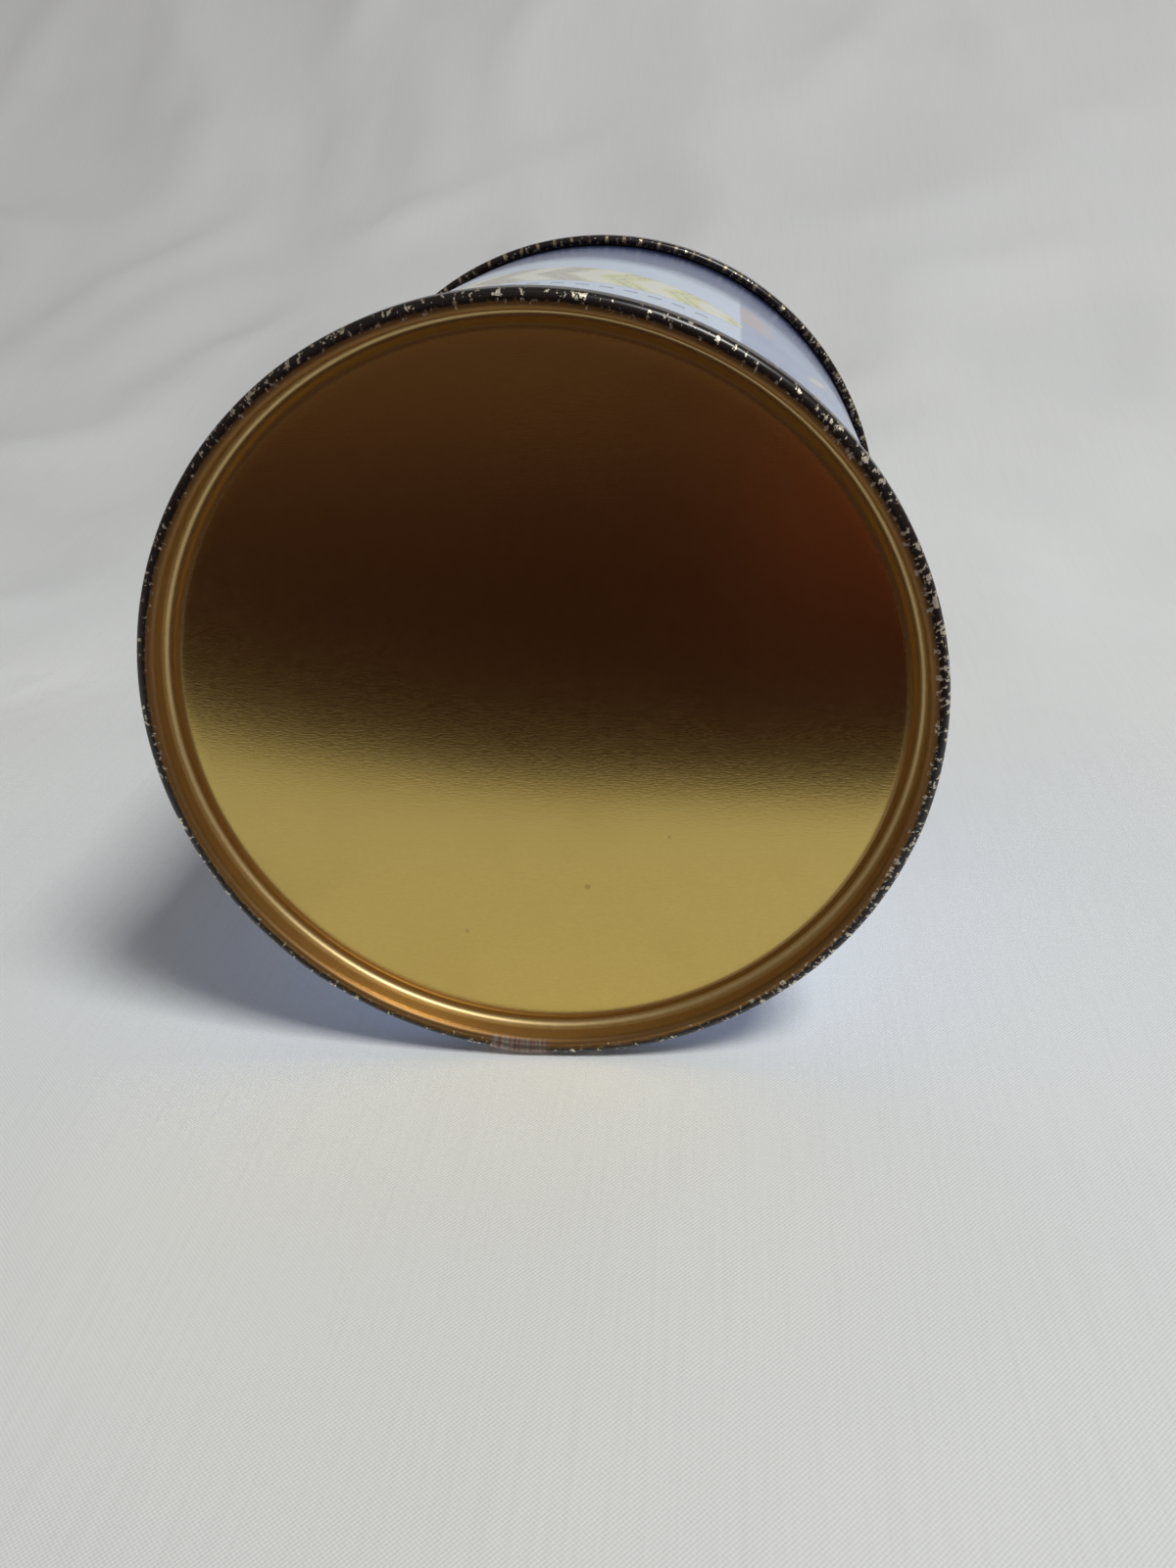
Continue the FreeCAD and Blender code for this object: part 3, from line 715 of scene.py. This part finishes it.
# %% Cutters and the stud
def punch_pin(r, centres, low=-1.0, high=6.0, name="cutter"):
    """A set of round cutters between two depths; centres are points in metres."""
    bm = bmesh.new()
    for centre in centres:
        bmesh.ops.create_cone(
            bm, cap_ends=True, segments=40, radius1=r * MM, radius2=r * MM, depth=(high - low) * MM,
            matrix=Matrix.Translation(centre + Vector((0, 0, (low + high) / 2 * MM))),
        )
    return as_piece(bm, name, [])


def hole_centres(first_degrees):
    """Centres of the ring of sifting holes."""
    first = math.radians(first_degrees)
    return [at_angle(HOLE_RING, first + i * FULL_TURN / HOLES) for i in range(HOLES)]


def to_top(bm):
    """Mirrors what was drawn by depth to the top of the tin, and keeps its faces outwards."""
    for vert in bm.verts:
        vert.co.z = TALL * MM - vert.co.z
    bmesh.ops.reverse_faces(bm, faces=bm.faces)


# %% Top end
seat = [(0, SEAT_DEPTH), (13.2, SEAT_DEPTH), (13.8, PANEL_DEPTH)]
bm = bent_line(end_corners(seat), [0.25, 0.25] + END_BENDS)
spin_round(bm)
face_outwards(bm)
unsettle(bm, seed=5.0, panel=0.0)
to_top(bm)
top_sheet = as_piece(bm, "top_end_sheet", [top_lacquer, inside_tin], gauge=PLATE)
sift_pins = punch_pin(HOLE_R, hole_centres(0), low=TALL - 5, high=TALL)
pivot_pin = punch_pin(PIVOT_R, [Vector()], low=TALL - 5, high=TALL)
punch(top_sheet, [sift_pins, pivot_pin])

# %% Stop stud, joined to the top end
STUD_TOP = 1.24
STUD_FOOT = 2.1
STOP = math.radians(270)
bm = bmesh.new()
bmesh.ops.create_cone(
    bm, cap_ends=True, segments=32, radius1=STUD_R * MM, radius2=STUD_R * MM,
    depth=(STUD_FOOT - STUD_TOP) * MM,
    matrix=Matrix.Translation(at_angle(STUD_RING, STOP, TALL - (STUD_FOOT + STUD_TOP) / 2)),
)
head = max(v.co.z for v in bm.verts)
crown = [e for e in bm.edges if all(v.co.z > head - 1e-7 for v in e.verts)]
bmesh.ops.bevel(
    bm, geom=crown, offset=0.45 * MM, offset_type="OFFSET", affect="EDGES", segments=6, profile=0.5,
    material=-1,
)
stud = bpy.data.meshes.new("stud")
bm.to_mesh(stud)
bm.free()
bm = bmesh.new()
bm.from_mesh(top_sheet.data)
bm.from_mesh(stud)
bm.to_mesh(top_sheet.data)
bm.free()
bpy.data.meshes.remove(stud)
smooth_faces(top_sheet)
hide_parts("top_end")
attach(top_sheet, "tin")
report(top_sheet)

# %% [markdown]
# ## The body and its side seam
#
# The body is a single sheet that goes round a little more than once. Its free edge lies outside, lifted
# by one gauge, and ramps down to the plain radius past the lap. A spiral of two spins makes that: a short
# one for the lap and a full one for the rest. Near both seams the lap is notched away, as it is on the
# real blank.

# %% Roll the body
BODY_CORNERS = [
    (BODY_HOOK_LINE, 2.2),
    (BODY_HOOK_LINE, BODY_TIP),
    (BODY_LINE, BODY_TIP),
    (BODY_LINE, SEAM_HEIGHT),
    (BODY_LINE, TALL - SEAM_HEIGHT),
    (BODY_LINE, TALL - BODY_TIP),
    (BODY_HOOK_LINE, TALL - BODY_TIP),
    (BODY_HOOK_LINE, TALL - 2.2),
]
BODY_BENDS = [0.4, 0.4, 0.0, 0.0, 0.4, 0.4]
LAP_STEPS = 6
bm = bent_line(BODY_CORNERS, BODY_BENDS, longest=2.3)
bmesh.ops.rotate(bm, verts=bm.verts, matrix=Matrix.Rotation(SIDE_SEAM, 3, "Z"))
last = spin_round(bm, LAP + JOGGLE, LAP_STEPS)
lap = bm.faces[:]
spin_round(bm, FULL_TURN * 0.9999999, AROUND, geometry=last)
closing = bm.faces[-(len(lap) // LAP_STEPS):]
print(f"body blank: {len(lap)} faces in the lap, {len(closing)} in the step that closes the turn")

# %% Notch the lap, lift it, and let the inner end stop under it
rest = set(bm.faces) - set(lap)
lifted = {v for f in lap for v in f.verts} - {v for f in rest for v in f.verts}
for vert in lifted:
    r = vert.co.xy.length
    vert.co.xy *= (r + (PLATE + 0.015) * MM) / r


def in_seam(face):
    """Whether a face lies in the height of one of the double seams."""
    z = face.calc_center_median().z / MM
    return z < SEAM_HEIGHT or z > TALL - SEAM_HEIGHT


notched = [f for f in lap if in_seam(f)]
hidden_end = [f for f in closing if not in_seam(f)]
bmesh.ops.delete(bm, geom=notched + hidden_end, context="FACES")
face_outwards(bm, level=TALL / 2)
for vert in bm.verts:
    height = vert.co.z / MM
    if SEAM_HEIGHT < height < TALL - SEAM_HEIGHT:
        ends = min(height - SEAM_HEIGHT, TALL - SEAM_HEIGHT - height, 6.0) / 6.0
        soft = noise.noise(vert.co * 42) - 0.35
        r = vert.co.xy.length
        vert.co.xy *= (r + soft * 0.09 * MM * ends) / r
body_sheet = as_piece(bm, "body_sheet", [body_print, inside_tin], gauge=PLATE)
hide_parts("body_shell")
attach(body_sheet, "tin")
report(body_sheet)

# %% [markdown]
# ### Solder fillet
#
# Solder wicks along the free edge of the lap and freezes as a narrow fillet with a slightly lumpy foot. A
# quarter-round section is drawn from three loose corners, extruded up the seam in short lengths, and each
# length is pushed in or out a little, which reads as hand-run solder at a fraction of a simulated melt.

# %% Solder fillet
SOLDER_FOOT = 0.9
OUTSIDE = BODY_LINE + PLATE / 2 + 0.01
solder_low = SEAM_HEIGHT + 0.05
lengths = 70
toe = SIDE_SEAM - SOLDER_FOOT / OUTSIDE
near = SIDE_SEAM - 0.015 / OUTSIDE
bm = bmesh.new()
section = [
    bm.verts.new(at_angle(OUTSIDE, near, solder_low)),
    bm.verts.new(at_angle(OUTSIDE, toe, solder_low)),
    bm.verts.new(at_angle(OUTSIDE + PLATE * 0.12, toe, solder_low)),
    bm.verts.new(at_angle(OUTSIDE + PLATE * 0.30, (toe + near) / 2, solder_low)),
    bm.verts.new(at_angle(OUTSIDE + PLATE * 0.88, near, solder_low)),
]
top_face = bm.faces.new(section)
rise = (TALL - 2 * solder_low) / lengths
for i in range(lengths):
    made = bmesh.ops.extrude_face_region(bm, geom=[top_face])["geom"]
    top_face = next(g for g in made if isinstance(g, bmesh.types.BMFace))
    bmesh.ops.translate(bm, verts=top_face.verts, vec=(0, 0, rise * MM))
inner = [f for f in bm.faces if abs(f.normal.z) > 0.99]
ends = (min(v.co.z for v in bm.verts), max(v.co.z for v in bm.verts))
stray = [f for f in inner if ends[0] + 1e-6 < f.calc_center_median().z < ends[1] - 1e-6]
bmesh.ops.delete(bm, geom=stray, context="FACES_ONLY")
for vert in bm.verts:
    r = vert.co.xy.length / MM
    if r > OUTSIDE + PLATE * 0.2:
        lump = noise.noise(Vector((0, 0, vert.co.z / MM * 0.45))) * 0.5
        lump += noise.noise(Vector((3, 0, vert.co.z / MM * 1.7))) * 0.25
        vert.co.xy *= (r - PLATE * 0.10 + lump * PLATE * 0.18) / r
bmesh.ops.recalc_face_normals(bm, faces=bm.faces)
solder = as_piece(bm, "side_seam_fillet", [solder_grey])
smooth_faces(solder, 60)
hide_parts("side_seam_solder")
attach(solder, "tin")
report(solder)

# %% [markdown]
# ## The sifter
#
# A scalloped dial turns under a rivet. Its own ring of holes lies half a pitch from those of the seat, so
# a twist of half a pitch lines them up. The dial is one pressing: a bent line is spun, and the scallops
# are then a cosine wave that grows from the flat to the skirt. Holes and the curved stop slot are punched
# afterwards.

# %% Dial
DIAL_LINE_DEPTH = 1.62
DIAL_R = 15.4
SKIRT_DEPTH = 2.28
SCALLOPS = 16
SCALLOP = 0.35
SCALLOP_FROM = 12.5
SCALLOP_RUN = 2.6
HALF_PITCH = 22.5
TRAVEL = math.radians(HALF_PITCH)
bm = bent_line(
    [(0, DIAL_LINE_DEPTH), (DIAL_R - PLATE / 2, DIAL_LINE_DEPTH), (DIAL_R - PLATE / 2, SKIRT_DEPTH)],
    [0.3],
    longest=1.0,
)
spin_round(bm, steps=AROUND)
face_outwards(bm)
for vert in bm.verts:
    r = vert.co.xy.length / MM
    if r > SCALLOP_FROM:
        grow = min((r - SCALLOP_FROM) / SCALLOP_RUN, 1.0)
        wave = SCALLOP * math.cos(SCALLOPS * math.atan2(vert.co.y, vert.co.x))
        vert.co.xy *= (r + wave * grow * grow) / r
to_top(bm)
dial = as_piece(bm, "sifter_dial_pressing", [dial_gold, inside_tin], gauge=PLATE)

# %% Holes and stop slot of the dial
SLOT_HALF = 0.85
bm = bmesh.new()
low_corner = STUD_RING - SLOT_HALF
high_corner = STUD_RING + SLOT_HALF
blank = [
    bm.verts.new(at_angle(low_corner, STOP - TRAVEL, TALL - 5)),
    bm.verts.new(at_angle(high_corner, STOP - TRAVEL, TALL - 5)),
    bm.verts.new(at_angle(high_corner, STOP - TRAVEL, TALL)),
    bm.verts.new(at_angle(low_corner, STOP - TRAVEL, TALL)),
]
bm.faces.new(blank)
bmesh.ops.spin(
    bm, geom=bm.faces[:] + bm.edges[:] + bm.verts[:], cent=(0, 0, 0), axis=(0, 0, 1), dvec=(0, 0, 0),
    angle=TRAVEL, steps=12, use_duplicate=False,
)
bmesh.ops.recalc_face_normals(bm, faces=bm.faces)
slot_block = as_piece(bm, "cutter", [])
slot_ends = [
    punch_pin(SLOT_HALF, [at_angle(STUD_RING, angle)], low=TALL - 5, high=TALL)
    for angle in (STOP - TRAVEL, STOP)
]
dial_pins = punch_pin(HOLE_R, hole_centres(HALF_PITCH), low=TALL - 5, high=TALL)
dial_pivot = punch_pin(PIVOT_R, [Vector()], low=TALL - 5, high=TALL)
punch(dial, [dial_pins, dial_pivot, slot_block, *slot_ends])
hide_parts("sifter_dial")
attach(dial, "dial")
report(dial)

# %% [markdown]
# ### Rivet
#
# The pivot is a semi-tubular rivet: a low domed head outside, and a hollow tail that is rolled over a
# washer inside. Its half section is a closed line from the axis back to the axis, so one spin makes it
# solid. The head's edge is bevelled on the line, before the spin, where a round costs one vertex.

# %% Rivet
half_section = [
    (0.0, 0.34), (1.7, 0.42), (2.65, 0.66), (3.08, 0.9), (3.08, 1.07), (1.48, 1.07), (1.48, 2.91),
    (2.45, 2.91), (2.22, 3.33), (1.5, 3.36), (0.8, 3.12), (0.8, 2.4), (0.0, 2.3),
]
rounds = [1.6, 1.4, 0.25, 0.06, 0.04, 0.04, 0.12, 0.18, 0.3, 0.2, 0.1]
bm = bent_line(half_section, rounds)
spin_round(bm, steps=96)
bmesh.ops.remove_doubles(bm, verts=bm.verts, dist=1e-7)
bmesh.ops.recalc_face_normals(bm, faces=bm.faces)
to_top(bm)
bmesh.ops.recalc_face_normals(bm, faces=bm.faces)
rivet = as_piece(bm, "pivot_rivet_brass", [rivet_brass])
smooth_faces(rivet, 50)
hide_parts("pivot_rivet")
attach(rivet, "tin")
report(rivet)

# %% [markdown]
# ### Small fittings kept from the frame
#
# The washers, the card gasket and the two rings of compound already have their true shape, so they stay
# as they are and only receive a finish.

# %% Finishes for the kept fittings
KEPT = {
    "dial_gasket": card_tan,
    "spring_washer": spring_blue,
    "backing_washer": washer_tin,
    "bottom_seam_compound": compound_grey,
    "top_seam_compound": compound_grey,
}
for name, finish in KEPT.items():
    fitting = frame["nodes"][name]
    fitting.data.materials.clear()
    fitting.data.materials.append(finish)
    print("finish on", name)

# %% [markdown]
# ## Where it lies
#
# The tin lies on a white cotton sheet, which the main view sees from the tin's bottom end. In the tin's
# own frame that sheet is a wall touching its back, so the sheet is built as one, with soft folds, and it
# sweeps forward far above. It shows only its front, so it never hides the tin from behind; a plain pale
# floor does the same for the upright views.

# %% Cotton and floor finishes
def one_sided(mix):
    """Lets a sheet be seen from its front only."""
    back = mix.node("ShaderNodeNewGeometry", {}).outputs["Backfacing"]
    clear = mix.node("ShaderNodeBsdfTransparent", {}).outputs[0]
    choose = mix.node("ShaderNodeMixShader", {0: back, 1: mix.shader.outputs[0], 2: clear})
    output = mix.tree.nodes["Material Output"]
    mix.tree.links.new(choose.outputs[0], output.inputs["Surface"])


def cotton():
    """White cotton with a plain weave and a few thick threads."""
    mix = Recipe("white_cotton")
    mix.measure()
    warp = mix.calc("SINE", mix.calc("MULTIPLY", mix.x, 14.0))
    weft = mix.calc("SINE", mix.calc("MULTIPLY", mix.z, 14.0))
    slub_place = mix.join(mix.calc("MULTIPLY", mix.x, 1.6), mix.calc("MULTIPLY", mix.z, 0.05))
    slub = mix.speckle(slub_place, 1.0, 3.0)
    cloud = mix.speckle(mix.where, 0.02, 3.0)
    weave = mix.calc("ADD", mix.calc("MULTIPLY", warp, weft), mix.calc("MULTIPLY", slub, 1.2))
    mix.engrave(weave, 0.03, 0.6)
    white = mix.blend(mix.rise(cloud, 0.3, 0.7), tint(0.80, 0.825, 0.840), tint(0.825, 0.845, 0.85))
    white = mix.blend(mix.calc("MULTIPLY", mix.rise(slub, 0.45, 0.7), 0.10), white, tint(0.66, 0.66, 0.66))
    one_sided(mix)
    return mix.serve(Base_Color=white, Roughness=0.85)


def pale_floor():
    """A pale, slightly uneven floor."""
    mix = Recipe("pale_floor")
    mix.measure()
    cloud = mix.speckle(mix.where, 0.01, 2.0)
    one_sided(mix)
    pale = mix.blend(cloud, tint(0.78, 0.78, 0.77), tint(0.82, 0.82, 0.81))
    return mix.serve(Base_Color=pale, Roughness=0.8)


# %% The sheet and the floor
SHEET_Y = 38.55 * MM        # just behind the swelling at the side seam
RIM = SEAM_R * MM
SWEEP_FROM = 0.16           # metres up at which the sheet starts to come forward
SWEEP = 0.9
CALM_R = 0.055              # the sheet lies flat this near the tin
CALM_RUN = 0.12
bm = bmesh.new()
bmesh.ops.create_grid(bm, x_segments=220, y_segments=260, size=1.0)
for vert in bm.verts:
    across = vert.co.x
    along = (vert.co.y + 1) / 2
    reach = min(max(across / RIM, -4.0), 2.0)
    edge = (-1.62 + 0.185 * reach - 0.110 * reach**2) * RIM
    z = edge + along * 1.6
    y = SHEET_Y
    if z > SWEEP_FROM:
        y -= (z - SWEEP_FROM)**2 / SWEEP
    away = Vector((across, 0, z - 0.03)).length
    rumpled = min(max((away - CALM_R) / CALM_RUN, 0.0), 1.0)
    wide = noise.noise(Vector((across * 5.0, z * 3.2, 1.7)))
    crease = abs(noise.noise(Vector((across * 9 + z * 4, z * 7 - across * 3, 4.2))))
    fold = 1 - abs(noise.noise(Vector((across * 13 - z * 6, z * 9 + across * 7, 8.1)))) * 2.4
    y += rumpled * (wide * 0.015 + crease * 0.014 - max(fold, 0.0)**2 * 0.0035)
    vert.co = Vector((across, max(y, SHEET_Y) if z < 0.1 else y, z))
bmesh.ops.recalc_face_normals(bm, faces=bm.faces)
bm.faces.ensure_lookup_table()
if bm.faces[0].normal.y > 0:
    bmesh.ops.reverse_faces(bm, faces=bm.faces)
sheet = as_piece(bm, "cotton_sheet", [cotton()])
smooth_faces(sheet, 80)
sheet.visible_shadow = False
bm = bmesh.new()
bmesh.ops.create_grid(bm, x_segments=2, y_segments=2, size=3.0)
floor = as_piece(bm, "floor", [pale_floor()])
floor.visible_shadow = False
floor.visible_diffuse = False
floor.visible_glossy = False
print("stage is laid")

# %% [markdown]
# ## Light
#
# One soft window-like lamp, up and to the right, gives the shadow and the bright line along the rim. The
# room behind the viewer is dark and warm, which is what makes the polished end look deep brown above the
# pale reflection of the sheet. Weaker lamps fill the sides that only the other views see.

# %% Lamps
def soft_lamp(name, towards, distance, size, watts, colour=(1, 1, 1)):
    """A square lamp that looks at the tin from a direction."""
    data = bpy.data.lights.new(name, "AREA")
    data.shape = "SQUARE"
    data.size = size
    data.energy = watts
    data.color = colour
    lamp = bpy.data.objects.new(name, data)
    scene.collection.objects.link(lamp)
    towards = Vector(towards).normalized()
    middle = Vector((0, 0, TALL / 2 * MM))
    lamp.matrix_world = Matrix.LocRotScale(
        middle + towards * distance, towards.to_track_quat("Z", "Y"), None
    )
    return lamp


soft_lamp("window", (0.42, -0.82, -0.38), 1.15, 0.30, 9.2, (0.99, 1.0, 0.985))
soft_lamp("back_fill", (-0.45, 0.80, 0.40), 1.6, 0.9, 12.0)
soft_lamp("top_fill", (0.25, 0.10, 1.0), 1.6, 0.9, 8.0)

# %% Room
room = bpy.data.worlds.new("room")
scene.world = room
room.use_nodes = True
nodes = room.node_tree.nodes
links = room.node_tree.links
nodes.clear()


def room_node(kind, inputs, **settings):
    """Adds a node to the room, with numbers, colours or results on its inputs."""
    made = nodes.new(kind)
    for key, value in settings.items():
        setattr(made, key, value)
    for key, value in inputs.items():
        if isinstance(value, bpy.types.NodeSocket):
            links.new(value, made.inputs[key])
        else:
            made.inputs[key].default_value = value
    return made


looking = room_node("ShaderNodeTexCoord", {}).outputs["Generated"]
parts = room_node("ShaderNodeSeparateXYZ", {0: looking}).outputs


def room_rise(value, low, high):
    """0 on one side, 1 on the other, smooth between."""
    inputs = {"Value": value, "From Min": low, "From Max": high}
    return room_node("ShaderNodeMapRange", inputs, interpolation_type="SMOOTHSTEP").outputs[0]


def room_blend(amount, first, second):
    """The first colour at 0, the second at 1."""
    return room_node("ShaderNodeMix", {0: amount, 6: first, 7: second}, data_type="RGBA").outputs[2]


def room_between(value, low, high, soft):
    """1 between two limits, with soft edges inside them."""
    return room_node(
        "ShaderNodeMath",
        {0: room_rise(value, low, low + soft), 1: room_rise(value, high, high - soft)},
        operation="MULTIPLY",
    ).outputs[0]


dark = tint(0.027, 0.009, 0.012)
ruddy = tint(0.125, 0.034, 0.034)
olive = tint(0.115, 0.066, 0.058)
grey = tint(0.155, 0.143, 0.130)
walls = room_blend(room_between(parts[0], -0.04, 0.34, 0.13), dark, ruddy)
walls = room_blend(room_rise(parts[1], 0.33, 0.24), dark, walls)
walls = room_blend(room_rise(parts[1], 0.24, 0.10), walls, olive)
walls = room_blend(room_rise(parts[1], 0.05, -0.45), walls, grey)
walls = room_blend(room_rise(parts[2], -0.10, 0.45), walls, grey)
seen = room_node("ShaderNodeLightPath", {}).outputs["Is Camera Ray"]
shown = room_blend(seen, walls, tint(0.62, 0.62, 0.61))
background = room_node("ShaderNodeBackground", {0: shown, 1: 1.0})
room_node("ShaderNodeOutputWorld", {0: background.outputs[0]})
print("lamps and room are set")

# %% [markdown]
# ## Camera
#
# The camera looks up at the bottom end, a little from the right. It is placed by its three axes, taken
# from the way the rims of the tin line up, so the near rim, the far rim and the strip of body between
# them agree.

# %% Camera
RIGHT = Vector((0.99394, 0.04724, 0.09923))
UP = Vector((0.0, -0.90289, 0.42987))
BACK = Vector((0.10990, -0.42726, -0.89742))
STANDPOINT = Vector((0.4912, -1.2419, -2.9628)) * SEAM_R * MM
lens = bpy.data.cameras.new("camera")
lens.lens = 30.41
lens.sensor_width = 36.0
lens.clip_start = 0.005
camera = bpy.data.objects.new("camera", lens)
scene.collection.objects.link(camera)
camera.matrix_world = Matrix((
    (RIGHT.x, UP.x, BACK.x, STANDPOINT.x),
    (RIGHT.y, UP.y, BACK.y, STANDPOINT.y),
    (RIGHT.z, UP.z, BACK.z, STANDPOINT.z),
    (0.0, 0.0, 0.0, 1.0),
))
scene.camera = camera
scene.view_settings.view_transform = "Standard"
